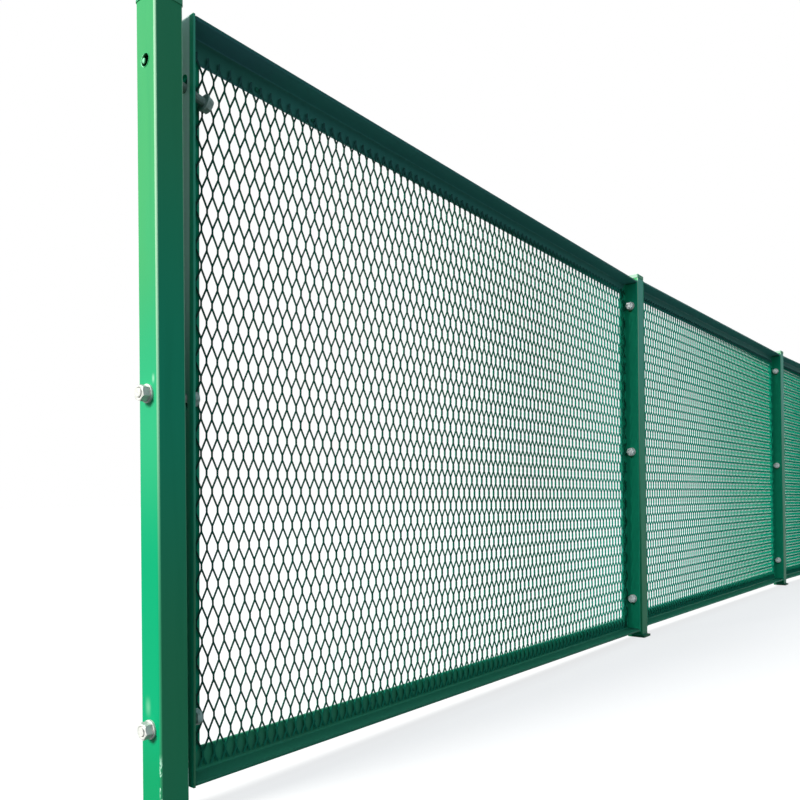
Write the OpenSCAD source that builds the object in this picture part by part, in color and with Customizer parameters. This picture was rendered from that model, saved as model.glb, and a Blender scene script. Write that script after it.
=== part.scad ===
// Anti-glare screen for a road: square tube posts that carry framed
// panels of expanded metal, bolted through, and running on in bays.
// Frame: +X along the first bay, +Z up, -Y the open side of the panels'
// frames. The origin is on the underside of the first foot, below its post.

/* [Run] */
// Number of bays, each one panel and the post at its far end
bays = 3; // [1:1:3]
// Turn of the run at each inner post, following the edge of the road
bend = 1.6; // [0:0.1:2]
// Height of a panel
panel_h = 1000; // [900:10:1500]
// Length of a panel
panel_l = 1500; // [900:10:2400]
// Height of the panels' lower edge above the feet
panel_lift = 21; // [20:1:120]
// Slack at the foot of the first panel, between its frame and the end post
end_gap = 6.5; // [3:0.5:20]
// How far the first panel has ridden up on the end post
end_raise = 6.5; // [0:0.5:10]
// Lean of the first panel towards the second post, in degrees
panel_lean = 0.55; // [0:0.05:0.8]
// How far the second post stands below the others
post_sink = 5; // [0:0.5:8]

/* [Posts] */
// Outer width of the square tube
post_w = 42; // [38:1:60]
// Wall of the tube
post_t = 2.5; // [2:0.5:4]
// Outer corner radius of the tube
post_r = 4; // [3:0.5:7]
// Height of the top of a post's cap above the panels
post_over = 16; // [16:1:60]
// Diameter of the bolt holes in the posts
post_hole_d = 17; // [14:0.5:20]

/* [Caps and feet] */
// How far a cap stands out past the tube, on each side
cap_lip = 1; // [0.5:0.25:4]
// Height of a cap
cap_h = 10; // [6:1:10]
// Thickness of a cap's top
cap_t = 2.5; // [2:0.5:4]
// Chamfer round a cap's top
cap_bevel = 1; // [0.5:0.1:1.5]
// Length of a foot plate along the run
foot_x = 46; // [44:1:80]
// Length of a foot plate across the run
foot_y = 48; // [44:1:100]
// How far a foot plate's middle lies to the open side of its post
foot_out = 4; // [0:1:6]
// Thickness of a foot plate
foot_t = 6; // [4:1:10]

/* [Panel frames] */
// Width of the angle bar's leg along the back of a panel
angle_w = 36; // [34:1:50]
// Depth of the angle bar's leg round the edge of a panel
angle_d = 40; // [34:1:50]
// Thickness of the angle bar
angle_t = 4; // [3:0.5:6]
// Radius in the root of the angle bar
root_r = 3; // [2:0.5:3]
// Radius at the toes of the angle bar
toe_r = 2; // [1:0.5:3]
// How far the rails are set in from the ends of the stiles
rail_set = 2; // [0:0.5:4]

/* [Expanded metal] */
// Long way of one opening, from knuckle to knuckle
mesh_lwd = 51.5; // [30:0.5:80]
// Short way of one opening
mesh_swd = 19; // [12:1:40]
// Width of a strand, seen square on
strand_w = 1.75; // [1.5:0.25:4]
// Depth of the sheet, whose strands are raised on edge
mesh_t = 3.5; // [2:0.5:3.5]
// How far the sheet laps over the frame's side and bottom legs
mesh_lap = 24; // [10:1:26]
// How far it laps over the frame's top leg
mesh_lap_top = 10; // [6:1:26]
// Openings along each way that one modelled opening stands for
mesh_step = 3; // [3:1:6]

/* [Bolts] */
// Diameter of a bolt's shank
bolt_d = 12; // [10:1:12]
// Height of the lowest bolts above the feet
bolt_low = 111; // [90:1:160]
// Height from one bolt to the next above it
bolt_rise = 418; // [300:1:418]
// Width across the flats of a bolt's head and nut
hex_af = 19; // [16:1:19]
// Height of a bolt's head
head_h = 8; // [6:0.5:9]
// Height of a nut
nut_h = 10.5; // [8:0.5:11]
// Diameter of a washer
washer_d = 24; // [22:0.5:24]
// Thickness of a washer
washer_t = 2.5; // [1.5:0.5:3]
// Width of the upright bolt slots in the frames
slot_w = 13; // [13:0.5:14]
// Height of the slots: the panels hang with a bolt at each slot's top
slot_h = 25; // [14:1:30]
// How far a bolt stands out of its nut
bolt_out = 1; // [0.5:0.5:8]
// How far the lowest head stands off the first panel's frame at the end post
head_slack = 10; // [6:1:12]
// How far inside the first panel the loose bolt's washer hangs
loose_in = 25; // [20:1:60]
// How far the loose bolt's end stands out of the frame
loose_out = 6; // [4:1:12]
// Slope of the loose bolt, head down, in degrees
loose_tilt = 12.5; // [0:0.5:15]

/* [Hidden] */
// How far a cutting shape runs past the face it cuts
eps = 0.5;
// Clearance of nuts and washers on a shank, and of the loose bolt in its slot
slack = 0.1;
// Facets of a full circle
facets = 32;
bolts_per_post = 3;
half_w = post_w / 2;
half_d = angle_d / 2;
post_top = panel_lift + panel_h + post_over;
cap_w = post_w + 2 * cap_lip;
hex_d = hex_af / cos(30);
top_bolt = bolts_per_post - 1;
function bolt_z(i) = bolt_low + i * bolt_rise;

// Bays and posts are counted from 0, and bay k lies between posts k and k + 1
function turn(k) = -bend * k;
function lean(k) = k == 0 ? panel_lean : 0;
function raise(k) = k == 0 ? end_raise : 0;
function sink(k) = k == 1 ? post_sink : 0;
// Gap at panel k's foot to the post before it: a turned frame just clears it
function gap(k) = k == 0 ? end_gap : half_d * tan(bend);
// Run from post to post: a leaning panel's top corner meets the second post
function span(k) =
    post_w + gap(k) + panel_l * cos(lean(k)) + panel_h * sin(lean(k));
function post_at(k) =
    k == 0 ? [0, 0, 0]
    : post_at(k - 1) + span(k - 1) * [cos(turn(k - 1)), sin(turn(k - 1)), 0];

// Outer faces of panel k's stiles at height z, along the bay from its first post
function left_face(k, z) =
    half_w + gap(k) + (z - panel_lift - raise(k)) * tan(lean(k));
function right_face(k, z) = left_face(k, z) + panel_l / cos(lean(k));
// Extra room that a round seat of diameter d needs against a face off square
function rock(d, angle) = d / 2 * tan(angle);
// Where the washers at post k seat on its near side, z above its foot
function seat_x(k, z) =
    k == 0 ? -half_w
    : right_face(k - 1, z - sink(k)) - span(k - 1) - angle_t / cos(lean(k - 1))
        - rock(washer_d, lean(k - 1));
// Where the bolts' heads at post k start on its far side, z above its foot:
// on the frame, but all in one line at the end post, clear of the leaning frame
function head_x(k, z) =
    k == bays ? half_w
    : k == 0 ? left_face(0, bolt_low) + angle_t + head_slack
    : left_face(k, z - sink(k)) + angle_t + rock(hex_d, bend);

// Sheet size, and the half openings that fill it edge to edge
mesh_l = panel_l - 2 * (angle_w - mesh_lap);
mesh_h = panel_h - 2 * angle_w + mesh_lap + mesh_lap_top;
mesh_cols = round(2 * mesh_l / (mesh_swd * mesh_step));
mesh_rows = round(2 * mesh_h / (mesh_lwd * mesh_step));
half_swd = mesh_l / mesh_cols;
half_lwd = mesh_h / mesh_rows;
bar_w = strand_w * mesh_step;

// ---- sections and bars ------------------------------------------------------

// Square with four round corners, centred
module round_square(w, r) {
    square([w - 2 * r, w], center = true);
    square([w, w - 2 * r], center = true);
    for (sx = [-1, 1], sy = [-1, 1])
        translate([sx * (w / 2 - r), sy * (w / 2 - r)]) circle(r, $fn = facets);
}

// What a circle of radius r leaves of the corner that it rolls into
module fillet(r) {
    difference() {
        square(r);
        translate([r, r]) circle(r, $fn = facets);
    }
}

// Rolled angle bar: heel at the origin, back leg along +X, edge leg along +Y
module angle_section() {
    difference() {
        union() {
            square([angle_w, angle_t]);
            square([angle_t, angle_d]);
            translate([angle_t, angle_t]) fillet(root_r);
        }
        translate([angle_w, angle_t]) rotate(180) fillet(toe_r);
        translate([angle_t, angle_d]) rotate(180) fillet(toe_r);
    }
}

// Round bar along +X from x = 0
module bar(d, h) {
    rotate([0, 90, 0]) cylinder(d = d, h = h, $fn = facets);
}

// Hexagonal bar along +X from x = 0
module hex_bar(h) {
    rotate([0, 90, 0]) cylinder(d = hex_d, h = h, $fn = 6);
}

// The hole for a shank through whatever is h thick
module shank_hole(h) {
    translate([-eps, 0, 0]) bar(bolt_d + 2 * slack, h + 2 * eps);
}

// ---- places -----------------------------------------------------------------

// A post's own frame, square to the bay before it
module at_post(k) {
    translate(post_at(k) - [0, 0, sink(k)]) rotate(k == 0 ? 0 : turn(k - 1)) children();
}

// A panel's own frame: x along the panel, z up from its foot
module in_panel(k) {
    translate(post_at(k)) rotate(turn(k))
        translate([half_w + gap(k), 0, panel_lift + raise(k)])
            rotate([0, lean(k), 0]) children();
}

// The bolts of post k: the top one of the end post is missing
module each_bolt(k) {
    for (i = [0:k == 0 ? top_bolt - 1 : top_bolt]) {
        $z = bolt_z(i);
        at_post(k) translate([0, 0, $z]) children();
    }
}

// The three cutters of post k, each at the height of a bolt
module at_bolt_heights(k) {
    for (i = [0:top_bolt])
        at_post(k) translate([-post_w, 0, bolt_z(i)]) children();
}

// Cutter for an upright slot, with a bolt's place at its top
module slot_drill() {
    drop = slot_h - slot_w;
    for (z = [0, -drop])
        translate([0, 0, z]) bar(slot_w, 2 * post_w);
    translate([0, -slot_w / 2, -drop]) cube([2 * post_w, slot_w, drop]);
}

// The loose bolt lies on the inner rim of the first panel's top slot, x = 0 there
module at_loose_bolt() {
    slot_foot = bolt_z(top_bolt) + slot_w / 2 - slot_h;
    translate([left_face(0, slot_foot) + angle_t / cos(lean(0)), 0, slot_foot])
        rotate([0, loose_tilt, 0]) translate([0, 0, bolt_d / 2 + slack]) children();
}

// ---- posts ------------------------------------------------------------------

module post(k) {
    color("seagreen") difference() {
        at_post(k) translate([0, 0, foot_t])
            linear_extrude(post_top - cap_t - foot_t) difference() {
                round_square(post_w, post_r);
                round_square(post_w - 2 * post_t, post_r - post_t);
            }
        at_bolt_heights(k) bar(post_hole_d, 2 * post_w);
    }
}

// Chamfers for the four top edges of a cap
module cap_bevels() {
    for (side = [0:3])
        rotate(90 * side) translate([cap_w / 2, 0, cap_h]) rotate([0, 45, 0])
            cube([cap_bevel * sqrt(2), 2 * cap_w, cap_bevel * sqrt(2)], center = true);
}

module post_cap(k) {
    color("mediumseagreen") at_post(k) translate([0, 0, post_top - cap_h]) difference() {
        linear_extrude(cap_h) round_square(cap_w, post_r + cap_lip);
        translate([0, 0, -eps])
            linear_extrude(cap_h - cap_t + eps) round_square(post_w, post_r);
        cap_bevels();
    }
}

module foot_plate(k) {
    color("darkgreen") at_post(k) translate([-foot_x / 2, -foot_y / 2 - foot_out, 0])
        cube([foot_x, foot_y, foot_t]);
}

// ---- panels -----------------------------------------------------------------

// Everything on the left stile's side of the mitres at both of its ends
module stile_side() {
    rotate([90, 0, 0]) linear_extrude(angle_d + 2 * eps, center = true)
        polygon([
            [-eps, 0],
            [angle_t, 0],
            [angle_t, rail_set + angle_t],
            [angle_w + eps, rail_set + angle_w + eps],
            [angle_w + eps, panel_h - rail_set - angle_w - eps],
            [angle_t, panel_h - rail_set - angle_t],
            [angle_t, panel_h],
            [-eps, panel_h],
        ]);
}

// Left stile: its edge leg faces the post, the other lies along the back
module stile() {
    intersection() {
        translate([0, half_d, 0]) mirror([0, 1, 0])
            linear_extrude(panel_h) angle_section();
        stile_side();
    }
}

// Mirrors a piece of a panel end for end
module far_end() {
    translate([panel_l, 0, 0]) mirror([1, 0, 0]) children();
}

// Bottom rail: fits between the stiles and is cut to their mitres
module rail() {
    difference() {
        translate([angle_t, half_d, rail_set]) rotate([0, 90, 0]) rotate(180)
            linear_extrude(panel_l - 2 * angle_t) angle_section();
        stile_side();
        far_end() stile_side();
    }
}

module left_stile(k) {
    color("darkgreen") difference() {
        in_panel(k) stile();
        at_bolt_heights(k) slot_drill();
    }
}

module right_stile(k) {
    color("darkgreen") difference() {
        in_panel(k) far_end() stile();
        at_bolt_heights(k + 1) slot_drill();
    }
}

module bottom_rail(k) {
    color("darkgreen") in_panel(k) rail();
}

module top_rail(k) {
    color("darkgreen") in_panel(k) translate([0, 0, panel_h]) mirror([0, 0, 1]) rail();
}

// One opening of the expanded metal: pointed at its ends, flat at the knuckles,
// and a strand's width from each of its six neighbours
module opening() {
    tip = half_lwd - bar_w;
    side = half_swd - bar_w;
    polygon([
        [0, tip],
        [side, bar_w],
        [side, -bar_w],
        [0, -tip],
        [-side, -bar_w],
        [-side, bar_w],
    ]);
}

// A sheet of openings, every second row set over by half an opening
module expanded_sheet() {
    difference() {
        square([mesh_l, mesh_h]);
        for (row = [0:mesh_rows], col = [row % 2:2:mesh_cols])
            translate([col * half_swd, row * half_lwd]) opening();
    }
}

module mesh(k) {
    lap_from = angle_w - mesh_lap;
    color("darkslategray") in_panel(k)
        translate([lap_from, half_d - angle_t, lap_from]) rotate([90, 0, 0])
            linear_extrude(mesh_t) expanded_sheet();
}

// ---- bolts ------------------------------------------------------------------

module bolts(k) {
    color("silver") each_bolt(k) union() {
        end_x = seat_x(k, $z) - washer_t - nut_h - bolt_out;
        translate([end_x, 0, 0]) bar(bolt_d, head_x(k, $z) + head_h / 2 - end_x);
        translate([head_x(k, $z), 0, 0]) hex_bar(head_h);
    }
}

module washer() {
    difference() {
        bar(washer_d, washer_t);
        shank_hole(washer_t);
    }
}

module washers(k) {
    color("gainsboro") each_bolt(k) translate([seat_x(k, $z) - washer_t, 0, 0]) washer();
}

module nuts(k) {
    color("darkgray") each_bolt(k)
        translate([seat_x(k, $z) - washer_t - nut_h, 0, 0]) difference() {
            hex_bar(nut_h);
            shank_hole(nut_h);
        }
}

module loose_bolt() {
    color("silver") at_loose_bolt() union() {
        translate([-loose_out - angle_t, 0, 0])
            bar(bolt_d, loose_out + angle_t + loose_in + washer_t + head_h / 2);
        translate([loose_in + washer_t, 0, 0]) hex_bar(head_h);
    }
}

module loose_washer() {
    color("gainsboro") at_loose_bolt() translate([loose_in, 0, 0]) washer();
}

for (k = [0:bays]) {
    post(k);
    post_cap(k);
    foot_plate(k);
    bolts(k);
    washers(k);
    nuts(k);
}
for (k = [0:bays - 1]) {
    left_stile(k);
    right_stile(k);
    top_rail(k);
    bottom_rail(k);
    mesh(k);
}
loose_bolt();
loose_washer();
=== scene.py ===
# %% [markdown]
# # Anti-glare screen
# Framed panels of expanded metal stand in bays between square posts.
# The exact steelwork comes ready made, as a frame of named parts.
# This script gives every part its finish and adds what the workshop leaves behind:
# the true expanded mesh, weld beads and spot welds, and nuts and bolts with chamfers and threads.

# %% Load the frame
import bpy
import bmesh
import random
from math import cos, degrees, exp, pi, radians, sin, tan
from mathutils import Matrix, Vector


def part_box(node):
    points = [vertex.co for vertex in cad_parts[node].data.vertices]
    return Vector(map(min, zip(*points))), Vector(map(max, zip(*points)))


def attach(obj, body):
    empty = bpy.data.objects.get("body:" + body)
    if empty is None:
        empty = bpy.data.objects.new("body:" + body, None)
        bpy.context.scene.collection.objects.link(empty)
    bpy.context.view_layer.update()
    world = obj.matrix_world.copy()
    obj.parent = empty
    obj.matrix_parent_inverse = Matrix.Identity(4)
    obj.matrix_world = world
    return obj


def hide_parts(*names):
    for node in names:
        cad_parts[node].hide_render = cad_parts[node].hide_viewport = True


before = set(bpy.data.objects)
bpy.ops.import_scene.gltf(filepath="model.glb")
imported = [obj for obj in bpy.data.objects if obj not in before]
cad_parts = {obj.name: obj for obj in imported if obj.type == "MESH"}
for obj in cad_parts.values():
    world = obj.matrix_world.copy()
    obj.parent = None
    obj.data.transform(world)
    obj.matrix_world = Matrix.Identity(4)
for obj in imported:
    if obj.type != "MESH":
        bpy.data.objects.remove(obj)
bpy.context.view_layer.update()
print("parts in the frame:", len(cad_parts))

# %% [markdown]
# ## Where things stand
# The run turns a little at each inner post, and the first panel leans on the second post.
# The few lengths that set this are written once, and each part's place follows from them.

# %% Driving dimensions, in metres and degrees
BAYS = 3
POST_WIDTH = 0.042
PANEL_LENGTH = 1.5
PANEL_HEIGHT = 1.0
PANEL_LIFT = 0.021
BACK_LEG = 0.036
EDGE_LEG = 0.040
ANGLE_THICKNESS = 0.004
RAIL_SET = 0.002
BEND = 1.6
LEAN = 0.55
END_GAP = 0.0065
END_RAISE = 0.0065


def turn(bay):
    """How far bay 0, 1 or 2 is turned from the first."""
    return -BEND * bay


def lean(bay):
    """Only the first panel leans."""
    return LEAN if bay == 0 else 0


def foot_gap(bay):
    """Room between a panel's foot and the post before it."""
    return END_GAP if bay == 0 else EDGE_LEG / 2 * tan(radians(BEND))


def post_foot(post):
    """The point under a post's middle, level with its foot plate's underside."""
    low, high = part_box(f"post_{post + 1}")
    foot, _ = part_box(f"foot_plate_{post + 1}")
    return Vector(((low.x + high.x) / 2, (low.y + high.y) / 2, foot.z))


def at_post(post):
    """A post's own frame, square to the bay before it."""
    angle = turn(max(post - 1, 0))
    return Matrix.Translation(post_foot(post)) @ Matrix.Rotation(radians(angle), 4, "Z")


def in_panel(bay):
    """A panel's own frame: x along it, y through it and z up, from its foot."""
    start = post_foot(bay)
    start.z = PANEL_LIFT + (END_RAISE if bay == 0 else 0)
    return (
        Matrix.Translation(start)
        @ Matrix.Rotation(radians(turn(bay)), 4, "Z")
        @ Matrix.Translation((POST_WIDTH / 2 + foot_gap(bay), 0, 0))
        @ Matrix.Rotation(radians(lean(bay)), 4, "Y")
    )


for bay in range(BAYS):
    heel = in_panel(bay) @ Vector((0, EDGE_LEG / 2, 0))
    low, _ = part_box(f"left_stile_{bay + 1}")
    print(f"panel {bay + 1}: heel at x {heel.x:.4f}, and the stile starts at {low.x:.4f}")

# %% [markdown]
# ## Shader maths as plain Python
# Paint that has stood outdoors is never one flat colour, so its finish is worked out from the place on
# the piece. In Blender that is a chain of Math nodes. A small class that wraps a socket lets Python's own
# signs make the chain, and one method adds any other node.

# %% Screen colours
def linear(red, green, blue):
    """A screen colour from 0 to 255, as the light that Blender reckons with."""
    channels = []
    for value in (red, green, blue):
        part = value / 255
        channels.append(part / 12.92 if part <= 0.04045 else ((part + 0.055) / 1.055) ** 2.4)
    return (*channels, 1)


print("half white on a screen is this much light:", round(linear(128, 128, 128)[0], 3))


# %% A socket that can be added, multiplied and compared
class Value:
    """What a node gives out: a number, a colour or a direction that changes over the surface."""

    def __init__(self, nodes, socket):
        self.nodes = nodes
        self.socket = socket

    def maths(self, operation, first, second):
        return self.nodes.node("ShaderNodeMath", {"operation": operation}, {0: first, 1: second})

    def __add__(self, other):
        return self.maths("ADD", self, other)

    def __mul__(self, other):
        return self.maths("MULTIPLY", self, other)

    def __sub__(self, other):
        return self.maths("SUBTRACT", self, other)

    def __rsub__(self, other):
        return self.maths("SUBTRACT", other, self)

    def __abs__(self):
        return self.maths("ABSOLUTE", self, 0)

    __radd__ = __add__
    __rmul__ = __mul__

    def between(self, start, end):
        """0 up to the start, 1 past the end, and a soft step between them. It can run downwards too."""
        return self.nodes.node(
            "ShaderNodeMapRange",
            {"interpolation_type": "SMOOTHSTEP"},
            {"Value": self, "From Min": start, "From Max": end},
        )

    def near(self, place, reach):
        """1 at a place, falling softly to 0 at a reach on both sides of it."""
        return 1 - abs(self - place).between(0, reach)


# %% A tree of nodes, and the one method that adds to it
class Nodes:
    """The nodes of a material or of the world."""

    def __init__(self, tree):
        self.tree = tree

    def node(self, kind, settings=None, inputs=None, output=0):
        """Any node: its type, its settings, its sockets' values or links, and which output to use."""
        made = self.tree.nodes.new(kind)
        for name, value in (settings or {}).items():
            setattr(made, name, value)
        for name, value in (inputs or {}).items():
            self.feed(made.inputs[name], value)
        return Value(self, made.outputs[output])

    def feed(self, socket, value):
        """Links a value to a socket, or sets a plain number or colour on it."""
        if isinstance(value, Value):
            self.tree.links.new(value.socket, socket)
        else:
            socket.default_value = value

    def mix(self, amount, one, other):
        """One colour, going over into another as the amount goes from 0 to 1."""
        return self.node("ShaderNodeMix", {"data_type": "RGBA"}, {0: amount, 6: one, 7: other}, 2)


# %% One material, built node by node
class Finish(Nodes):
    """A Principled shader, whose sockets are fed with numbers or with values."""

    def __init__(self, name, **constants):
        self.material = bpy.data.materials.new(name)
        self.material.use_nodes = True
        super().__init__(self.material.node_tree)
        self.shader = self.tree.nodes["Principled BSDF"]
        self.wear(**constants)
        self.place = self.node("ShaderNodeTexCoord", output="Object")

    def wear(self, **sockets):
        """Feeds the shader's own sockets, each named with _ for its spaces."""
        for name, value in sockets.items():
            self.feed(self.shader.inputs[name.replace("_", " ")], value)

    def parted(self, vector):
        """A vector's x, y and z."""
        return [self.node("ShaderNodeSeparateXYZ", {}, {0: vector}, i) for i in range(3)]

    def axes(self, origin=(0, 0, 0)):
        """Distances along x, y and z from an origin."""
        inputs = {0: self.place, 1: origin}
        return self.parted(self.node("ShaderNodeVectorMath", {"operation": "SUBTRACT"}, inputs))

    def facing(self):
        """The x, y and z of the direction that the surface faces."""
        return self.parted(self.node("ShaderNodeNewGeometry", output="Normal"))

    def noise(self, scale, detail=2, stretch=(1, 1, 1)):
        """Cloudy noise from about 0 to 1. A stretch below 1 draws it out along that axis."""
        inputs = {0: self.place, 1: stretch}
        vector = self.node("ShaderNodeVectorMath", {"operation": "MULTIPLY"}, inputs)
        return self.node("ShaderNodeTexNoise", {}, {"Vector": vector, "Scale": scale, "Detail": detail})

    def bumps(self, height, depth, strength=0.5):
        """Bumps of a depth in metres, where a height from 0 to 1 says so."""
        return self.node("ShaderNodeBump", {}, {"Height": height, "Distance": depth, "Strength": strength})


# %% Putting a finish on parts
def give(finish, names):
    """Puts a finish on parts of the frame, by name."""
    for name in names:
        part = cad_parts[name]
        part.data.materials.clear()
        part.data.materials.append(finish.material)
    print(f"{finish.material.name}: on {len(names)} parts")


def numbered(*stems, count):
    """The names stem_1, stem_2 and so on, for every stem."""
    return [f"{stem}_{i + 1}" for stem in stems for i in range(count)]


# %% [markdown]
# ## Green coat of the posts
# The posts wear a thick sprayed coat. On the side that faces the lamp its green pales towards the top,
# which is painted sheen, and it is darker at the foot. The front stands in open shade, and its duller green
# is a copy that paints that shade; on the later posts it is pale towards the top. Every face darkens at the
# very foot.
# A painted highlight runs along the rounded corners, strongest higher up, and near the ground grit has
# knocked the coat off the end post's corner in chips. Above two of that post's nuts a spanner has smeared
# it pale.
# The coat is made post by post, because the corners are found from the post's middle.

# %% Greens for the lit side and for the painted shade of the front, by height above a post's foot
CLEAN, HALFWAY_UP, SHEEN_TOP = linear(1, 142, 95), linear(42, 156, 107), linear(64, 152, 94)
FOOT_DARKER = linear(1, 131, 82)
POST_FRONT_SHADE, POST_FRONT_SHADE_HALFWAY, POST_FRONT_SHADE_TOP = linear(54, 148, 102), linear(34, 160, 119), linear(74, 182, 153)
FOOT_DARKER_ENDS = (0.04, 0.14)
SHEEN_GROWS = (0.35, 0.79)
TOP_GROWS = (0.55, 0.85)


def sunny_green(coat, height):
    """Clean low down, paler towards the top as painted sheen, and darker at the foot."""
    green = coat.mix(height.between(*SHEEN_GROWS), CLEAN, SHEEN_TOP)
    green = coat.mix(height.near(0.5, 0.2) * 0.9, green, HALFWAY_UP)
    return coat.mix(height.between(*FOOT_DARKER_ENDS), FOOT_DARKER, green)


def painted_shade_green(coat, height, post):
    """Painted shade for the front: bluer halfway up, and pale at the top of every post but the first."""
    green = coat.mix(height.near(0.55, 0.4), POST_FRONT_SHADE, POST_FRONT_SHADE_HALFWAY)
    if post > 0:
        green = coat.mix(height.between(*TOP_GROWS), green, POST_FRONT_SHADE_TOP)
    return green


# %% Marks on the end post
CHIPPED, SMEARED = linear(176, 222, 196), linear(190, 232, 206)
CHIPS_BEGIN, CHIPS_END = (0.012, 0.030), (0.068, 0.085)
OUTER_FACE = (-0.0200, -0.0208)
SMEARS = (
    dict(up=0.138, side=0.005, reach=0.016, strength=0.17),
    dict(up=0.547, side=-0.012, reach=0.008, strength=0.4),
)


def chipped(coat, height):
    """Patches near the ground, where the coat flakes off."""
    flaking = coat.noise(190, detail=3, stretch=(1, 1, 0.5)).between(0.5, 0.56)
    return height.between(*CHIPS_BEGIN) * (1 - height.between(*CHIPS_END)) * flaking


def smeared(coat, green, across, through, height):
    """The green with the spanner's smears on the outer face, each twice as high as it is wide."""
    for mark in SMEARS:
        smear = height.near(mark["up"], mark["reach"]) * through.near(mark["side"], mark["reach"] / 2)
        smear = smear * across.between(*OUTER_FACE) * mark["strength"]
        green = coat.mix(smear, green, SMEARED)
    return green


# %% Post coat
SPRAYED = dict(Specular_IOR_Level=0.04, Metallic=0.0)
PEEL, PEEL_DEPTH = 420, 0.00012
CLOUDED, RUN = linear(16, 150, 108), linear(6, 118, 80)
CORNER_HIGHLIGHT, FOOT_DARKEST = linear(178, 222, 186), linear(4, 62, 40)
CORNER_BEGINS = (0.0388, 0.0396)
HIGHLIGHT_GROWS = (0.2, 0.8)
FOOT_DARKEST_ENDS = (0.004, 0.016)


def post_coat(post):
    """The coat of one post and its foot plate."""
    coat = Finish(f"post_coat_{post + 1}", **SPRAYED)
    across, through, height = coat.axes(post_foot(post))
    # Faces turned to the front take the duller green, which is painted shade.
    front = coat.facing()[1].between(-0.7, -0.95)
    clouds = coat.noise(9, detail=4, stretch=(1, 1, 0.35))
    runs = coat.noise(60, detail=3, stretch=(1, 1, 0.06))
    corner = (abs(across) + abs(through)).between(*CORNER_BEGINS)
    green = coat.mix(front, sunny_green(coat, height), painted_shade_green(coat, height, post))
    green = coat.mix(clouds.between(0.4, 0.8) * 0.25, green, CLOUDED)
    green = coat.mix(runs.between(0.5, 0.8) * 0.15, green, RUN)
    # A painted highlight along the rounded corners, stronger higher up.
    green = coat.mix(corner * (height.between(*HIGHLIGHT_GROWS) * 0.85 + 0.06), green, CORNER_HIGHLIGHT)
    chips = 0
    if post == 0:
        chips = corner * chipped(coat, height)
        green = coat.mix(chips, green, CHIPPED)
        green = smeared(coat, green, across, through, height)
    # Every face darkens towards the very foot.
    foot_darkening = 0.7 - 0.7 * height.between(*FOOT_DARKEST_ENDS)
    coat.wear(
        Base_Color=coat.mix(foot_darkening, green, FOOT_DARKEST),
        Roughness=clouds * 0.12 + chips * 0.3 + 0.3,
        Normal=coat.bumps(coat.noise(PEEL, detail=1) - chips * 2, PEEL_DEPTH),
    )
    return coat


for post in range(BAYS + 1):
    give(post_coat(post), [f"post_{post + 1}", f"foot_plate_{post + 1}"])

# %% [markdown]
# ## Green coat of the frames
# The frames are a darker green. The top rail's front and underside look away from the light, and painted
# shade takes them almost to navy, but its top stays green, and so does the whole bottom rail. The rails'
# upturned faces carry a slightly darker painted shade. Dirt has run down low on the bottom rail. The stiles
# are fresher, as rain washes them, and the back of their faces that look towards the end post carries
# painted shade. A pale band of painted light runs down the outside of the first stile. The lip of that
# stile carries painted shade low down and a painted highlight higher up.

# %% Rail coat
RAIL, RAIL_CLOUDED, RAIL_LATER = linear(53, 146, 109), linear(59, 138, 104), linear(42, 136, 104)
RAIL_TOP_SHADE, RAIL_LIP = linear(50, 131, 100), linear(44, 118, 89)
RAIL_LATER_FROM = (0.9, 1.3)
FIRST_RAIL_ENDS = (1.5, 1.6)
RAIL_LIP_FROM = (-0.016, -0.018)
rail_coat = Finish("rail_coat", **SPRAYED)
along, through, height = rail_coat.axes()
facing_up = rail_coat.facing()[2]
clouds = rail_coat.noise(7, detail=4)
lip = (1 - along.between(*FIRST_RAIL_ENDS)) * through.between(*RAIL_LIP_FROM)
green = rail_coat.mix(clouds.between(0.35, 0.7), RAIL, RAIL_CLOUDED)
green = rail_coat.mix(along.between(*RAIL_LATER_FROM), green, RAIL_LATER)
# Painted shade: faces turned up take a slightly darker green.
green = rail_coat.mix(facing_up.between(0.5, 0.9), green, RAIL_TOP_SHADE)
green = rail_coat.mix(lip, green, RAIL_LIP)

# %% Painted navy shade of the top rail, which changes a little past the first corner
UNDERSIDE_SHADE, UNDERSIDE_SHADE_ON = linear(88, 155, 161), linear(84, 168, 161)
NAVY_SHADE, NAVY_SHADE_ON, NAVY_SHADE_LIP = linear(62, 132, 116), linear(67, 141, 128), linear(54, 116, 108)
CORNER_PASSED = (0.14, 0.24)
TOP_RAIL_FROM = (0.6, 0.95)
onward = along.between(*CORNER_PASSED)
underside_shade = rail_coat.mix(onward, UNDERSIDE_SHADE, UNDERSIDE_SHADE_ON)
navy_shade = rail_coat.mix(onward, NAVY_SHADE, NAVY_SHADE_ON)
navy_shade = rail_coat.mix(lip, navy_shade, NAVY_SHADE_LIP)
navy_shade = rail_coat.mix(facing_up.between(-0.5, -0.9), navy_shade, underside_shade)
unlit = height.between(*TOP_RAIL_FROM) * (1 - facing_up.between(0.3, 0.8))
green = rail_coat.mix(unlit, green, navy_shade)

# %% Streaks of dirt low on the bottom rail
STREAK = linear(60, 140, 120)
STREAKS_END = (0.05, 0.08)
streaks = rail_coat.noise(300, detail=2, stretch=(1, 1, 0.12)).between(0.5, 0.64)
streaks = streaks * (1 - height.between(*STREAKS_END))
rail_coat.wear(
    Base_Color=rail_coat.mix(streaks * 0.25, green, STREAK),
    Roughness=clouds * 0.12 + 0.34,
    Normal=rail_coat.bumps(rail_coat.noise(PEEL, detail=1), PEEL_DEPTH),
)
give(rail_coat, numbered("top_rail", "bottom_rail", count=BAYS))

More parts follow.
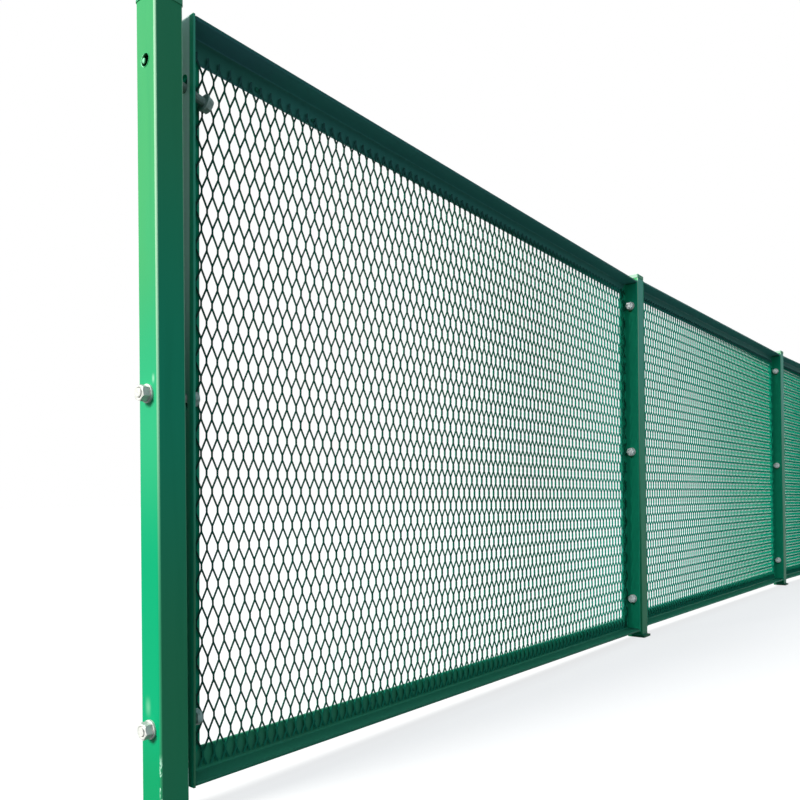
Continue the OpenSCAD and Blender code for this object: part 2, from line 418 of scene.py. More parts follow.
# %% Stile coat
STILE, STILE_CLOUDED, STILE_LATER = linear(22, 160, 118), linear(28, 150, 112), linear(28, 168, 124)
STILE_BACK_SHADE = linear(10, 92, 68)
STILE_LATER_FROM = (1.2, 1.3)
STILE_BACK_SHADE_FROM = (0.013, 0.0155)
stile_coat = Finish("stile_coat", **SPRAYED)
along, through, height = stile_coat.axes()
outside = stile_coat.facing()[0].between(-0.6, -0.9)
clouds = stile_coat.noise(7, detail=4)
green = stile_coat.mix(clouds.between(0.35, 0.7), STILE, STILE_CLOUDED)
green = stile_coat.mix(along.between(*STILE_LATER_FROM), green, STILE_LATER)
# Painted shade along the back of the faces that look towards the end post.
green = stile_coat.mix(outside * through.between(*STILE_BACK_SHADE_FROM), green, STILE_BACK_SHADE)

# %% Painted light and shade on the first stile
PAINTED_LIGHT, LIP_SHADE, LIP_HIGHLIGHT = linear(225, 240, 235), linear(66, 132, 96), linear(96, 186, 158)
FIRST_STILE_ENDS = (0.05, 0.06)
PAINTED_LIGHT_FROM = (-0.0132, -0.0090)
PAINTED_LIGHT_GROWS = (0.46, 0.74)
LIP_ENDS = (-0.0196, -0.0188)
LIP_HIGHLIGHT_FROM = (0.25, 0.5)
first = 1 - along.between(*FIRST_STILE_ENDS)
# A pale band of painted light on the rear part of the outside face, stronger higher up.
painted_light = first * outside * through.between(*PAINTED_LIGHT_FROM) * (height.between(*PAINTED_LIGHT_GROWS) * 0.85 + 0.04)
green = stile_coat.mix(painted_light, green, PAINTED_LIGHT)
# The lip carries painted shade low down and a painted highlight higher up.
lip = first * (1 - through.between(*LIP_ENDS))
highlight_rises = height.between(*LIP_HIGHLIGHT_FROM)
green = stile_coat.mix(lip * (1 - highlight_rises), green, LIP_SHADE)
stile_coat.wear(
    Base_Color=stile_coat.mix(lip * highlight_rises * 0.45, green, LIP_HIGHLIGHT),
    Roughness=clouds * 0.12 + painted_light * 0.2 + 0.34,
    Normal=stile_coat.bumps(stile_coat.noise(PEEL, detail=1), PEEL_DEPTH),
)
give(stile_coat, numbered("left_stile", "right_stile", count=BAYS))

# %% [markdown]
# ## Caps
# The caps are moulded in a plastic of the same green, which the sun has bleached on top. The later caps
# carry painted light on the side that faces the lamp.

# %% Cap plastic
MOULDED, MOULDED_CLOUDED = linear(66, 160, 118), linear(44, 142, 100)
BLEACHED_TOP, PAINTED_LIGHT_SIDE = linear(196, 216, 198), linear(140, 171, 152)
LATER_CAPS_FROM = (1, 1.2)
cap_plastic = Finish("cap_plastic", Specular_IOR_Level=0.2, Metallic=0.0)
along = cap_plastic.axes()[0]
facing_along, _, facing_up = cap_plastic.facing()
clouds = cap_plastic.noise(30, detail=3)
green = cap_plastic.mix(clouds, MOULDED, MOULDED_CLOUDED)
# Painted light on the later caps' side that faces the lamp.
lit_side = along.between(*LATER_CAPS_FROM) * facing_along.between(-0.6, -0.9)
green = cap_plastic.mix(lit_side, green, PAINTED_LIGHT_SIDE)
cap_plastic.wear(
    Base_Color=cap_plastic.mix(facing_up.between(0.2, 0.8) * 0.7, green, BLEACHED_TOP),
    Roughness=clouds * 0.15 + 0.4,
    Normal=cap_plastic.bumps(cap_plastic.noise(700, detail=1), 0.00005),
)
give(cap_plastic, numbered("post_cap", count=BAYS + 1))

# %% [markdown]
# ## Mesh coat
# The strands carry the same coat. On the first sheet their fronts carry a dark painted shade, and the sides
# stay bright. Along the run the strands grow paler, and the fronts' painted shade gives way. Where the
# sheet lies over the rails its fronts take about the rails' colour, the top rail's painted navy shade
# included, and over the first panel's far stile the strands carry painted shade.

# %% Mesh coat
STRAND, STRAND_CLOUDED, STRAND_FRONT_SHADE = linear(10, 118, 92), linear(18, 132, 104), linear(22, 74, 60)
STRAND_LATER, STRAND_LAST = linear(40, 146, 124), linear(12, 138, 106)
LATER_SHEETS_FROM = (0.9, 1.5)
LAST_SHEET_FROM = (1.9, 3)
mesh_coat = Finish("mesh_coat", **SPRAYED)
along, _, height = mesh_coat.axes()
shaded_fronts = mesh_coat.facing()[1].between(-0.2, -0.7)
clouds = mesh_coat.noise(11, detail=3)
green = mesh_coat.mix(clouds, STRAND, STRAND_CLOUDED)
later = along.between(*LATER_SHEETS_FROM)
pale = mesh_coat.mix(along.between(*LAST_SHEET_FROM), STRAND_LATER, STRAND_LAST)
green = mesh_coat.mix(later, green, pale)
# Painted shade on the first sheet's fronts.
green = mesh_coat.mix(shaded_fronts * (1 - later), green, STRAND_FRONT_SHADE)

# %% Where the sheet laps over the frame
OVER_BOTTOM_RAIL, OVER_TOP_RAIL_SHADE = linear(30, 124, 98), linear(52, 104, 98)
OVER_STILE_SHADE, SPECK = linear(12, 90, 68), linear(40, 84, 72)
WINDOW_FROM, WINDOW_TO = (0.056, 0.068), (0.980, 0.988)
STILE_FROM, STILE_TO = (1.486, 1.494), (1.53, 1.54)
in_window = height.between(*WINDOW_FROM) * (1 - height.between(*WINDOW_TO))
over_rail = mesh_coat.mix(height.between(0.4, 0.6), OVER_BOTTOM_RAIL, OVER_TOP_RAIL_SHADE)
# Over the rails the fronts take the rails' colour, and over the top rail its painted navy shade.
green = mesh_coat.mix(shaded_fronts * (1 - in_window), green, over_rail)
on_stile = along.between(*STILE_FROM) * (1 - along.between(*STILE_TO))
# Painted shade over the first panel's far stile.
green = mesh_coat.mix(on_stile, green, OVER_STILE_SHADE)
specks = mesh_coat.noise(240, detail=2).between(0.55, 0.75)
mesh_coat.wear(
    Base_Color=mesh_coat.mix(specks * 0.3, green, SPECK),
    Roughness=clouds * 0.1 + 0.42,
    Normal=mesh_coat.bumps(mesh_coat.noise(600, detail=1), 0.0001),
)
print("nodes in the mesh coat:", len(mesh_coat.tree.nodes))

# %% [markdown]
# ## Zinc of the bolts
# Bolts, washers and nuts are zinc plated. Zinc dulls in patches, and the duller it is, the less it shines
# as bare metal does. The end post's nuts are bright, and the later posts' nuts are fresher still.
# The heads, inside the panels, are dull, and their zinc is darker and greener as painted shade. The loose
# bolt, out of its place for longer, has gone a dark matt grey.

# %% Ages of zinc
def zinc(name, bright, dull, roughness, metal):
    """Zinc in patches of two greys. Metal says how much it shines as bare metal does."""
    finish = Finish(name, Specular_IOR_Level=0.3)
    patches = finish.noise(160, detail=3)
    finish.wear(
        Base_Color=finish.mix(patches.between(0.4, 0.65), bright, dull),
        Metallic=metal - patches * 0.1,
        Roughness=patches * 0.2 + roughness,
        Normal=finish.bumps(finish.noise(900, detail=1), 0.00005, strength=0.4),
    )
    return finish


bright_zinc = zinc("bright_zinc", linear(204, 204, 198), linear(180, 181, 176), roughness=0.36, metal=0.22)
washer_zinc = zinc("washer_zinc", linear(214, 214, 208), linear(192, 192, 188), roughness=0.34, metal=0.2)
dull_zinc = zinc("dull_zinc", linear(148, 170, 162), linear(126, 148, 140), roughness=0.5, metal=0.2)
fresh_zinc = zinc("fresh_zinc", linear(244, 248, 248), linear(222, 228, 228), roughness=0.3, metal=0.85)
# Painted shade: a darker, greener zinc for the heads.
shaded_zinc = zinc("shaded_zinc", linear(166, 190, 180), linear(134, 158, 148), roughness=0.5, metal=0.1)
give(washer_zinc, numbered("washers", count=BAYS + 1))
give(dull_zinc, ["loose_washer"])

# %% [markdown]
# ## Small helpers for new pieces
# Every new piece is shaped as a bmesh and ends as an object that stands at the origin, with its place in
# its mesh.

# %% From bmesh to object and back
def as_object(bm, name):
    """Turns a bmesh into an object that stands at the origin."""
    mesh = bpy.data.meshes.new(name)
    bm.to_mesh(mesh)
    bm.free()
    made = bpy.data.objects.new(name, mesh)
    bpy.context.scene.collection.objects.link(made)
    return made


def after_modifiers(source):
    """The bmesh that an object's modifiers make, in place of the object."""
    evaluated = source.evaluated_get(bpy.context.evaluated_depsgraph_get())
    made = bmesh.new()
    made.from_mesh(evaluated.to_mesh())
    evaluated.to_mesh_clear()
    bpy.data.objects.remove(source)
    return made


def everything(bm):
    """All corners, edges and faces of a bmesh."""
    return bm.verts[:] + bm.edges[:] + bm.faces[:]


def placed(bm, matrix):
    """The same bmesh, moved and turned to its place."""
    bmesh.ops.transform(bm, verts=bm.verts, matrix=matrix)
    return bm


def joined(pieces):
    """Several bmeshes as one."""
    whole = bmesh.new()
    for bm in pieces:
        mesh = bpy.data.meshes.new("joined")
        bm.to_mesh(mesh)
        bm.free()
        whole.from_mesh(mesh)
        bpy.data.meshes.remove(mesh)
    return whole


def cut_off(bm, point, outwards):
    """Cuts away everything beyond a plane."""
    bmesh.ops.bisect_plane(
        bm, geom=everything(bm), dist=1e-7, plane_co=point, plane_no=outwards, clear_outer=True
    )


def finished(bm, name, finish, replaces=None):
    """A finished piece, which rides on the one body there is."""
    made = as_object(bm, name)
    made.data.materials.append(finish.material)
    if replaces:
        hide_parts(replaces)
    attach(made, "root")
    return made


# %% [markdown]
# ## True expanded mesh
# Expanded metal is slit in rows and pulled open. Each strip between two rows of slits weaves
# from a knuckle it shares with the strip on its left to one it shares with the strip on its right,
# and the pull turns the strips like the slats of a blind. One strip is extruded from a single edge,
# its twin is the same strip turned half round, and two arrays lay the pair out over the whole sheet.

# %% One opening's worth of strip
OPENING_WIDTH = 0.01875
OPENING_HEIGHT = 0.0515
STRAND_WIDTH = 0.0023
STRAND_THICKNESS = 0.0026
STRAND_TILT = 54
KNUCKLE = 0.0065


def strip():
    """One strip over one opening's height, as a ribbon without thickness."""
    across = STRAND_WIDTH * Vector((cos(radians(STRAND_TILT)), sin(radians(STRAND_TILT)), 0))
    slope = Vector((OPENING_WIDTH / 2, 0, OPENING_HEIGHT / 2 - KNUCKLE)) - across
    rise = Vector((0, 0, KNUCKLE / 2))
    bm = bmesh.new()
    edge = bm.edges.new([bm.verts.new((0, 0, 0)), bm.verts.new(across)])
    for step in (rise, slope, rise):
        out = bmesh.ops.extrude_edge_only(bm, edges=[edge])["geom"]
        edge = next(g for g in out if isinstance(g, bmesh.types.BMEdge))
        bmesh.ops.translate(bm, verts=edge.verts, vec=step)
    bmesh.ops.mirror(bm, geom=everything(bm), axis="Z", merge_dist=1e-6)
    return bm


def opening():
    """A strip and its twin, side by side round one column of knuckles."""
    bm = strip()
    twin = bmesh.ops.duplicate(bm, geom=everything(bm))["geom"]
    verts = [g for g in twin if isinstance(g, bmesh.types.BMVert)]
    bmesh.ops.rotate(bm, verts=verts, cent=(0, 0, 0), matrix=Matrix.Rotation(pi, 3, "Z"))
    bmesh.ops.remove_doubles(bm, verts=bm.verts, dist=1e-6)
    bmesh.ops.recalc_face_normals(bm, faces=bm.faces)
    return bm


cell = opening()
print("faces in one opening:", len(cell.faces))
cell.free()

# %% [markdown]
# ## An uneven pull
# No press pulls a sheet open quite evenly, so its columns of openings drift. Here they sway in waves,
# most at half height, bulge at one place, lean back more and more along the sheet, and sag at its left
# end. A Lattice modifier could bend the sheet so by hand. Formulas are used instead: they move the corners
# of the welded grid, so its joints stay whole. The second sheet has half of the drift, and the third
# drifts the other way.

# %% How far the pull moves each corner
PULL = (1, 0.5, -0.7)
WAVE, WAVE_START, WAVE_LENGTH = 0.0073, 0.644, 0.888
BULGE, BULGE_PLACE, BULGE_LONG, BULGE_HIGH = 0.0067, 0.71, 0.28, 0.14
FAN, FAN_LEVEL = 0.0111, 0.606
SKEW, SKEW_LEVEL = 0.0025, 0.5
SHIFT = 0.0015
SAG, SAG_REACH, SAG_BOW = 0.0087, 0.65, 0.69
TILT, STRETCH, SHRINK = 0.0007, 0.0023, 0.0037
LOWERED = 0.0105


def pulled(bm, share):
    """Moves a sheet's corners by a share of the first sheet's drift, and lowers the whole sheet."""
    for vert in bm.verts:
        along, up = vert.co.x, vert.co.z
        wave = sin(pi * up) * cos(2 * pi * (along - WAVE_START) / WAVE_LENGTH)
        beside, above = (along - BULGE_PLACE) / BULGE_LONG, (up - BULGE_PLACE) / BULGE_HIGH
        bulge = exp(-(beside**2) - above**2)
        fan = FAN * (up - FAN_LEVEL) * along**2 + SKEW * (up - SKEW_LEVEL) * along
        sag = SAG * exp(-along / SAG_REACH) * sin(SAG_BOW * pi * up)
        rise = TILT * along + (STRETCH * along - SHRINK) * up
        vert.co.x += share * (WAVE * wave + BULGE * bulge - fan - SHIFT)
        vert.co.z += share * (rise - sag) - LOWERED


# %% [markdown]
# ## From one opening to three sheets
# Two Array modifiers repeat the opening along and up, and weld each copy to the last.
# The sheet is cut off at its edges while it is still thin, then given its thickness, so its cut ends
# are closed. It laps over the frame's back legs, least at the top.

# %% Lay out and trim
SIDE_LAP = 0.024
TOP_LAP = 0.010
SHEET_FROM = BACK_LEG - SIDE_LAP
SHEET_PLANE = 0.0134
SPARE = 3


def repeated(bm, count, step):
    """The same bmesh, laid out count times and welded to itself."""
    source = as_object(bm, "repeat")
    array = source.modifiers.new("repeat", "ARRAY")
    array.use_relative_offset = False
    array.use_constant_offset = True
    array.constant_offset_displace = step
    array.count = count
    array.use_merge_vertices = True
    array.merge_threshold = 1e-5
    return after_modifiers(source)


def sheet(share):
    """A whole sheet without thickness, in its panel's own frame."""
    long_way, high_way = PANEL_LENGTH - SHEET_FROM, PANEL_HEIGHT - BACK_LEG + TOP_LAP
    columns = int(long_way / OPENING_WIDTH) + 2 * SPARE
    rows = int(high_way / OPENING_HEIGHT) + 2 * SPARE
    bm = repeated(opening(), columns, (OPENING_WIDTH, 0, 0))
    bm = repeated(bm, rows, (0, 0, OPENING_HEIGHT))
    start = (SHEET_FROM - SPARE * OPENING_WIDTH, SHEET_PLANE, SHEET_FROM - SPARE * OPENING_HEIGHT)
    bmesh.ops.translate(bm, verts=bm.verts, vec=start)
    pulled(bm, share)
    cut_off(bm, (SHEET_FROM, 0, 0), (-1, 0, 0))
    cut_off(bm, (0, 0, SHEET_FROM), (0, 0, -1))
    cut_off(bm, (long_way, 0, 0), (1, 0, 0))
    cut_off(bm, (0, 0, high_way), (0, 0, 1))
    return bm


for bay in range(BAYS):
    bm = placed(sheet(PULL[bay]), in_panel(bay))
    made = finished(bm, f"expanded_sheet_{bay + 1}", mesh_coat, f"mesh_{bay + 1}")
    thick = made.modifiers.new("thickness", "SOLIDIFY")
    thick.thickness = STRAND_THICKNESS
    thick.offset = 0
    thick.use_even_offset = False
    print(made.name, "has", len(made.data.polygons), "faces before its thickness")

# %% [markdown]
# ## Welds
# The sheet is held to the frame by spots of weld, and the frame's bars and the posts' feet by short beads.
# A bead is a row of overlapping ripples: a small ring is extruded along the joint,
# and every second ring is drawn in a little. A spot is a flattened ball.

# %% A bead and a spot
RIPPLE = 0.0016
BEAD_RADIUS = 0.0026
BEAD_TIP, DRAWN_IN, SWOLLEN = 0.4, 0.84, (0.96, 1.08)
SPOT_RADIUS = (0.0024, 0.0034)
SPOT_LENGTH, SPOT_THICKNESS, SPOT_HEIGHT = 1.1, 0.6, (0.9, 1.3)
random.seed(4)


def extruded(bm, face):
    """Pulls a cap off its ring and gives back the new cap."""
    out = bmesh.ops.extrude_face_region(bm, geom=[face])["geom"]
    bmesh.ops.delete(bm, geom=[face], context="FACES_ONLY")
    return next(g for g in out if isinstance(g, bmesh.types.BMFace))


def bead(start, end):
    """A weld bead from one point to another, with closed ends."""
    path = end - start
    count = max(4, round(path.length / RIPPLE))
    bm = bmesh.new()
    bmesh.ops.create_circle(bm, cap_ends=True, segments=8, radius=BEAD_RADIUS * BEAD_TIP)
    face = next(iter(bm.faces))
    for i in range(count):
        face = extruded(bm, face)
        share = BEAD_TIP if i == count - 1 else DRAWN_IN if i % 2 else random.uniform(*SWOLLEN)
        radius = (face.verts[0].co - face.calc_center_median()).length
        bmesh.ops.translate(bm, verts=face.verts, vec=(0, 0, path.length / count))
        middle = Matrix.Translation(-face.calc_center_median())
        bmesh.ops.scale(bm, verts=face.verts, vec=(BEAD_RADIUS * share / radius,) * 3, space=middle)
    bmesh.ops.recalc_face_normals(bm, faces=bm.faces)
    swung = path.to_track_quat("Z", "Y").to_matrix().to_4x4()
    return placed(bm, Matrix.Translation(start) @ swung)


def spot(place):
    """A spot weld, flattened against the back leg."""
    radius = random.uniform(*SPOT_RADIUS)
    flattened = Matrix.Diagonal((SPOT_LENGTH, SPOT_THICKNESS, random.uniform(*SPOT_HEIGHT), 1))
    bm = bmesh.new()
    bmesh.ops.create_uvsphere(bm, u_segments=10, v_segments=6, radius=radius)
    return placed(bm, Matrix.Translation(place) @ flattened)


# %% Weld coat
weld_coat = Finish("weld_coat", **SPRAYED)
clouds = weld_coat.noise(90, detail=3)
weld_coat.wear(
    Base_Color=weld_coat.mix(clouds, linear(30, 104, 84), linear(42, 122, 100)),
    Roughness=clouds * 0.2 + 0.35,
)
print("nodes in the weld coat:", len(weld_coat.tree.nodes))

# %% Weld up the panels
BEAD_RAISED = 0.0006
BEAD_FRONT, BEAD_BACK = 0.003, 0.007
SPOT_GAP = 0.125
SPOT_STRAY = 0.012
SPOT_INSET, TOP_SPOT_INSET = 0.012, 0.006
SPOT_RAISED = 0.001


def strayed(i):
    """Where spot i of a row is, a little off its mark."""
    return (i + 1) * SPOT_GAP + random.uniform(-SPOT_STRAY, SPOT_STRAY)


def panel_welds():
    """Beads in the frame's four inner corners, and spots all round the sheet's edge."""
    inside = ANGLE_THICKNESS + BEAD_RAISED
    low, high = RAIL_SET + inside, PANEL_HEIGHT - RAIL_SET - inside
    front, back = BEAD_FRONT - EDGE_LEG / 2, EDGE_LEG / 2 - BEAD_BACK
    welds = [
        bead(Vector((x, front, z)), Vector((x, back, z)))
        for x in (inside, PANEL_LENGTH - inside)
        for z in (low, high)
    ]
    plane = EDGE_LEG / 2 - ANGLE_THICKNESS - SPOT_RAISED
    margin, top = BACK_LEG - SPOT_INSET, PANEL_HEIGHT - BACK_LEG + TOP_SPOT_INSET
    for i in range(round(PANEL_LENGTH / SPOT_GAP) - 1):
        along = strayed(i)
        welds += [spot((along, plane, margin)), spot((along, plane, top))]
    for i in range(round(PANEL_HEIGHT / SPOT_GAP) - 1):
        up = strayed(i)
        welds += [spot((margin, plane, up)), spot((PANEL_LENGTH - margin, plane, up))]
    return joined(welds)


for bay in range(BAYS):
    welds = placed(panel_welds(), in_panel(bay))
    made = finished(welds, f"panel_welds_{bay + 1}", weld_coat)
    print(made.name, "has", len(made.data.polygons), "faces")

# %% Weld the posts to their feet
FOOT_TOP = 0.006
POST_CORNER = 0.004


def foot_welds():
    """A bead along each side of the tube, where it stands on its plate."""
    side, reach = POST_WIDTH / 2 - BEAD_RAISED, POST_WIDTH / 2 - POST_CORNER
    welds = []
    for quarter in range(4):
        line = bead(Vector((-reach, side, FOOT_TOP)), Vector((reach, side, FOOT_TOP)))
        welds.append(placed(line, Matrix.Rotation(quarter * pi / 2, 4, "Z")))
    return joined(welds)


for post in range(BAYS + 1):
    finished(placed(foot_welds(), at_post(post)), f"foot_welds_{post + 1}", weld_coat)
print("foot welds:", BAYS + 1)

# %% [markdown]
# ## Bolts and nuts
# A nut starts as a six-sided bar and is turned down on a lathe, which leaves the round chamfer that
# curves over its corners. The same is done here: a Boolean keeps what a hexagon and a turned blank share.
# The thread is one tooth of the profile, spun round the axis while it moves along by one pitch a turn.

# %% Blanks
ACROSS_FLATS = 0.019
CORNER = ACROSS_FLATS / 2 / cos(pi / 6)
THREAD = 0.012
CLEARANCE = 0.0001
BORE = THREAD / 2 + CLEARANCE


def spun(bm, steps, turns=1, climb=0):
    """Spins a profile round the x axis: once and closed, or in many turns that climb along the axis."""
    profile = bm.verts[:] + bm.edges[:]
    bmesh.ops.spin(
        bm, geom=profile, cent=(0, 0, 0), axis=(1, 0, 0), angle=2 * pi * turns, steps=steps,
        dvec=(climb / steps, 0, 0), use_merge=turns == 1,
    )


def outline(points):
    """A bmesh that holds one open line through (along, out) points."""
    bm = bmesh.new()
    verts = [bm.verts.new((x, 0, out)) for x, out in points]
    for pair in zip(verts, verts[1:]):
        bm.edges.new(pair)
    return bm


def turned(points):
    """A blank turned on a lathe from (along, out) points, closed where they meet the axis."""
    bm = outline(points)
    spun(bm, steps=48)
    bmesh.ops.remove_doubles(bm, verts=bm.verts, dist=1e-7)
    bmesh.ops.recalc_face_normals(bm, faces=bm.faces)
    return bm


def hexagon(length):
    """A hexagonal bar along x from x = 0, with a corner pointing down."""
    bm = bmesh.new()
    bmesh.ops.create_cone(bm, cap_ends=True, segments=6, radius1=CORNER, radius2=CORNER, depth=length)
    bmesh.ops.translate(bm, verts=bm.verts, vec=(0, 0, length / 2))
    return placed(bm, Matrix.Rotation(-pi / 6, 4, "X") @ Matrix.Rotation(pi / 2, 4, "Y"))


def combined(bm, other, operation):
    """A Boolean between two closed bmeshes."""
    body, tool = as_object(bm, "body"), as_object(other, "tool")
    boolean = body.modifiers.new("boolean", "BOOLEAN")
    boolean.operation = operation
    boolean.solver = "EXACT"
    boolean.object = tool
    made = after_modifiers(body)
    bpy.data.objects.remove(tool)
    bmesh.ops.remove_doubles(made, verts=made.verts, dist=1e-7)
    return made


# %% Heads and nuts
HEAD, NUT = 0.008, 0.0105
CHAMFER = 0.0012
CHAMFERED = ACROSS_FLATS / 2 - 0.0006
BEYOND_CORNER = CORNER + 0.0003
COUNTERSINK, COUNTERSINK_DEPTH = BORE + 0.002, 0.0012
PAST_END = 0.001


def head():
    """A bolt's head from x = 0, chamfered on its far side."""
    blank = [(0, 0), (0, CORNER), (HEAD - CHAMFER, BEYOND_CORNER), (HEAD, CHAMFERED), (HEAD, 0)]
    return combined(hexagon(HEAD), turned(blank), "INTERSECT")


def nut():
    """A nut from x = 0, chamfered on both sides, with a countersunk bore."""
    blank = [(0, 0), (0, CHAMFERED), (CHAMFER, BEYOND_CORNER)]
    blank += [(NUT - CHAMFER, BEYOND_CORNER), (NUT, CHAMFERED), (NUT, 0)]
    bore = [(-PAST_END, 0), (-PAST_END, COUNTERSINK), (COUNTERSINK_DEPTH, BORE)]
    bore += [(NUT - COUNTERSINK_DEPTH, BORE), (NUT + PAST_END, COUNTERSINK), (NUT + PAST_END, 0)]
    return combined(combined(hexagon(NUT), turned(blank), "INTERSECT"), turned(bore), "DIFFERENCE")


# %% Threads
PITCH = 0.00175
ROOT, CREST = THREAD / 2 - 0.0011, THREAD / 2 - 0.00005
CREST_FROM, CREST_TO = 0.4 * PITCH, 0.6 * PITCH
STEPS_A_TURN = 16


def thread(length):
    """A threaded bar from x = 0 to its length, cut off square and closed at both ends."""
    turns = int(length / PITCH) + 3
    tooth = [(0, ROOT), (CREST_FROM, CREST), (CREST_TO, CREST), (PITCH, ROOT)]
    bm = outline([(x - 1.5 * PITCH, out) for x, out in tooth])
    spun(bm, steps=STEPS_A_TURN * turns, turns=turns, climb=PITCH * turns)
    bmesh.ops.remove_doubles(bm, verts=bm.verts, dist=1e-6)
    cut_off(bm, (0, 0, 0), (-1, 0, 0))
    cut_off(bm, (length, 0, 0), (1, 0, 0))
    bmesh.ops.holes_fill(bm, edges=[e for e in bm.edges if e.is_boundary])
    bmesh.ops.recalc_face_normals(bm, faces=bm.faces)
    return bm


for name, trial in (("head", head()), ("nut", nut()), ("thread", thread(0.03))):
    open_edges = sum(edge.is_boundary for edge in trial.edges)
    print(name, "has", len(trial.faces), "faces, open edges:", open_edges)
    trial.free()

# %% [markdown]
# ## Every bolt in its place
# The bolts are put through from the panels' insides. Each has its nut on the near side of its post,
# over a washer.
# No two nuts stop at the same turn. At the end post the bolts stand off the frame, and the top one has
# come out: it lies loose in the frame's slot, head down.

# %% Read the seats off the frame
BOLT_HEIGHTS = (0.111, 0.529, 0.947)


def ends_along(node, post, rise):
    """How far along its post's frame a solid of a node starts and ends, at a bolt's height."""
    inverse = at_post(post).inverted()
    points = [inverse @ vert.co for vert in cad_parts[node].data.vertices]
    near = [point.x for point in points if abs(point.z - rise) < ACROSS_FLATS]
    return min(near), max(near)


def slid(distance):
    """Moves along x, the bolt's own axis."""
    return Matrix.Translation((distance, 0, 0))


def any_turn():
    """Turns about the bolt's own axis by up to one flat."""
    return Matrix.Rotation(random.uniform(0, pi / 3), 4, "X")


# %% Bolts and nuts of each post
for post in range(BAYS + 1):
    number = post + 1
    shanks, heads, nuts = [], [], []
    for rise in BOLT_HEIGHTS[: 2 if post == 0 else 3]:
        hole = at_post(post) @ Matrix.Translation((0, 0, rise))
        start, end = ends_along(f"bolts_{number}", post, rise)
        seat, _ = ends_along(f"nuts_{number}", post, rise)
        shanks.append(placed(thread(end - HEAD - start), hole @ slid(start)))
        heads.append(placed(head(), hole @ slid(end - HEAD) @ any_turn()))
        nuts.append(placed(nut(), hole @ slid(seat) @ any_turn()))
    outside = bright_zinc if post == 0 else fresh_zinc
    finished(joined(shanks), f"threaded_shanks_{number}", outside, f"bolts_{number}")
    finished(joined(heads), f"bolt_heads_{number}", shaded_zinc)
    finished(joined(nuts), f"chamfered_nuts_{number}", outside, f"nuts_{number}")
    print("post", number, "has its bolts and nuts")

# %% The loose bolt
LOOSE_TILT = 12.5
SLOT_FOOT = 0.9285
LOOSE_START, LOOSE_HEAD = -0.010, 0.0275
rim = in_panel(0) @ Vector((ANGLE_THICKNESS, 0, SLOT_FOOT - PANEL_LIFT - END_RAISE))
lying = (
    Matrix.Translation((rim.x, 0, SLOT_FOOT))
    @ Matrix.Rotation(radians(LOOSE_TILT), 4, "Y")
    @ Matrix.Translation((0, 0, THREAD / 2 + CLEARANCE))
)
loose = joined([
    placed(thread(LOOSE_HEAD - LOOSE_START), lying @ slid(LOOSE_START)),
    placed(head(), lying @ slid(LOOSE_HEAD) @ any_turn()),
])
finished(loose, "loose_threaded_bolt", dull_zinc, "loose_bolt")
print("the loose bolt lies on the slot's rim at", tuple(round(c, 4) for c in rim))

# %% [markdown]
# ## Lip of the empty hole
# The coat draws back from a drilled edge and sets as a soft lip round it, and a drop of it hangs on inside.
# A small circle is spun into the lip, and a ball is flattened into the drop.

# %% Hole lip
HOLE_RADIUS = 0.0085
LIP_RADIUS = 0.0006
DROP_RADIUS = 0.0028
DROP_PLACE = (0.4 * DROP_RADIUS, 0.5 * HOLE_RADIUS, 0.3 * DROP_RADIUS)
DROP_SHAPE = (0.6, 1, 1.3, 1)
ring = bmesh.new()
bmesh.ops.create_circle(ring, segments=10, radius=LIP_RADIUS)
bmesh.ops.translate(ring, verts=ring.verts, vec=(0, HOLE_RADIUS, 0))
spun(ring, steps=48)
bmesh.ops.remove_doubles(ring, verts=ring.verts, dist=1e-7)
bmesh.ops.recalc_face_normals(ring, faces=ring.faces)
drop = bmesh.new()
bmesh.ops.create_uvsphere(drop, u_segments=16, v_segments=10, radius=DROP_RADIUS)
drop = placed(drop, Matrix.Translation(DROP_PLACE) @ Matrix.Diagonal(DROP_SHAPE))
print("faces in the lip and in its drop:", len(ring.faces), len(drop.faces))

# %% Coat of the lip, with painted shade on the near side and painted light on the far side
lip_coat = Finish("lip_coat", **SPRAYED)
clouds = lip_coat.noise(200, detail=2)
lit_far_side = lip_coat.axes()[1].between(0, 0.004)
lip_coat.wear(
    Base_Color=lip_coat.mix(lit_far_side, linear(60, 160, 104), linear(140, 222, 172)),
    Roughness=clouds * 0.2 + 0.25,
)
empty_hole = Matrix.Translation((-POST_WIDTH / 2, 0, BOLT_HEIGHTS[2]))
lip = finished(placed(joined([ring, drop]), empty_hole), "hole_lip", lip_coat)
print(lip.name, "has", len(lip.data.polygons), "faces")

# %% [markdown]
# ## Floor and world
# The floor and the world are white only to the camera and to reflections, so that they throw little light
# up under the rails. The Light Path node tells which ray asks.

# %% White to the eye
WHITE, BLACK = (1, 1, 1, 1), (0, 0, 0, 1)
SKY = (0.40, 0.50, 0.60, 1)


def white_to_the_eye(nodes):
    """1 for rays from the camera, from reflections and through glass, and 0 for the rest."""
    seen = nodes.node("ShaderNodeLightPath", output="Is Camera Ray")
    for kind in ("Is Glossy Ray", "Is Transmission Ray"):
        seen = seen.maths("MAXIMUM", seen, nodes.node("ShaderNodeLightPath", output=kind))
    return seen


world = bpy.data.worlds.new("studio")
bpy.context.scene.world = world
world.use_nodes = True
studio = Nodes(world.node_tree)
sky = studio.mix(white_to_the_eye(studio), SKY, WHITE)
studio.feed(studio.tree.nodes["Background"].inputs["Color"], sky)
print("nodes in the world:", len(studio.tree.nodes))

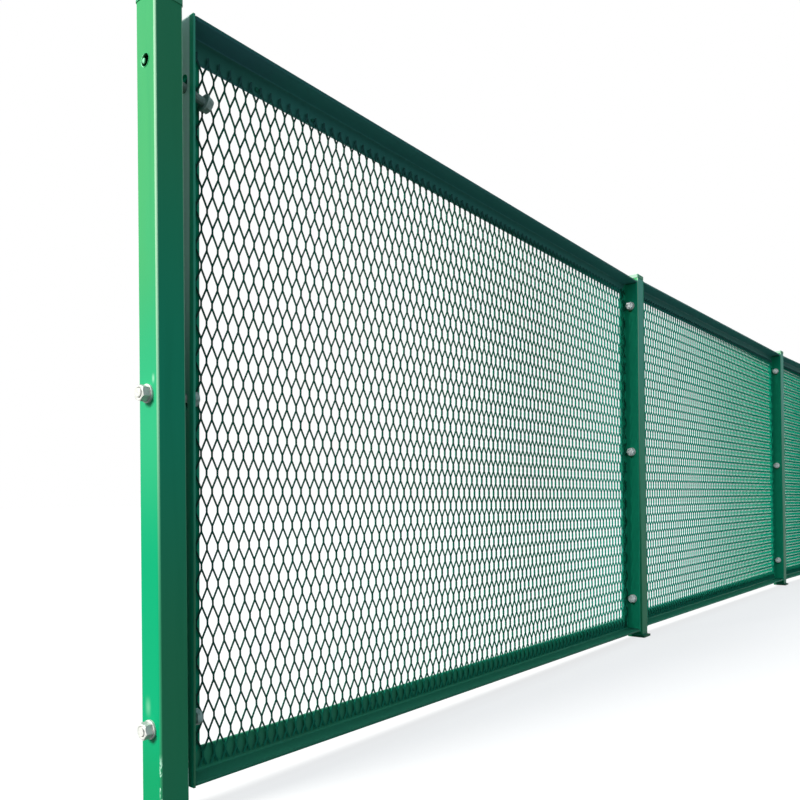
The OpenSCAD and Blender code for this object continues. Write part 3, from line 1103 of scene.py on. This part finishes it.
# %% Floor
FLOOR_LEVEL, FLOOR_SIZE = -0.005, 60
FLOOR_DARK, FLOOR_PALE, FLOOR_GLOW = (0.10, 0.10, 0.10, 1), (0.25, 0.25, 0.25, 1), (0.75, 0.75, 0.75, 1)
bm = bmesh.new()
bmesh.ops.create_grid(bm, x_segments=1, y_segments=1, size=FLOOR_SIZE)
floor = as_object(placed(bm, Matrix.Translation((0, 0, FLOOR_LEVEL))), "floor")
pale_floor = Finish("pale_floor", Roughness=0.9, Specular_IOR_Level=0.0)
eye = white_to_the_eye(pale_floor)
pale_floor.wear(
    Base_Color=pale_floor.mix(eye, FLOOR_DARK, FLOOR_PALE),
    Emission_Color=pale_floor.mix(eye, BLACK, FLOOR_GLOW),
    Emission_Strength=1.0,
)
floor.data.materials.append(pale_floor.material)
print("floor at", FLOOR_LEVEL)

# %% [markdown]
# ## One broad lamp
# The lamp stands off the free end of the run: it lights the sides that face it and leaves the long front in
# open shade. Its wide angle softens the shadows' edges, as thin cloud does.

# %% One broad lamp
LAMP_FROM = Vector((-1, 0.25, 0.55))
lamp = bpy.data.lights.new("key", "SUN")
lamp.energy = 1.9 * pi
lamp.color = (1, 0.985, 0.93)
lamp.angle = radians(18)
key = bpy.data.objects.new("key", lamp)
bpy.context.scene.collection.objects.link(key)
key.rotation_euler = LAMP_FROM.to_track_quat("Z", "Y").to_euler()
print("the lamp stands this many degrees high:", round(90 - degrees(LAMP_FROM.angle((0, 0, 1))), 1))

# %% [markdown]
# ## Camera
# The camera stands close to the end post at knee height and looks along the run, so that the bays shrink
# into the distance. It is held almost level, which keeps the posts upright, and the lens is shifted
# up to take in the top of the first post.

# %% Camera
EYE = Vector((-0.5468, -0.8302, 0.3926))
YAW, RISE, ROLL = radians(39.065), radians(0.3814), radians(-0.605)
ahead = Vector((cos(YAW) * cos(RISE), sin(YAW) * cos(RISE), sin(RISE)))
level = Vector((sin(YAW), -cos(YAW), 0))
upright = level.cross(ahead)
right = cos(ROLL) * level + sin(ROLL) * upright
up = -sin(ROLL) * level + cos(ROLL) * upright
lens = bpy.data.cameras.new("eye")
lens.sensor_width = 36
lens.lens = 33.625
lens.shift_y = 0.11916
lens.clip_start = 0.01
camera = bpy.data.objects.new("eye", lens)
camera.matrix_world = Matrix.Translation(EYE) @ Matrix((right, up, -ahead)).transposed().to_4x4()
bpy.context.scene.collection.objects.link(camera)
bpy.context.scene.camera = camera
bpy.context.scene.view_settings.view_transform = "Standard"
print("the camera stands this far from the end post's foot, in metres:", round(EYE.length, 3))

# %% [markdown]
# The finished model should fill the frame's box and hardly more.

# %% Finish
print("the model is finished")
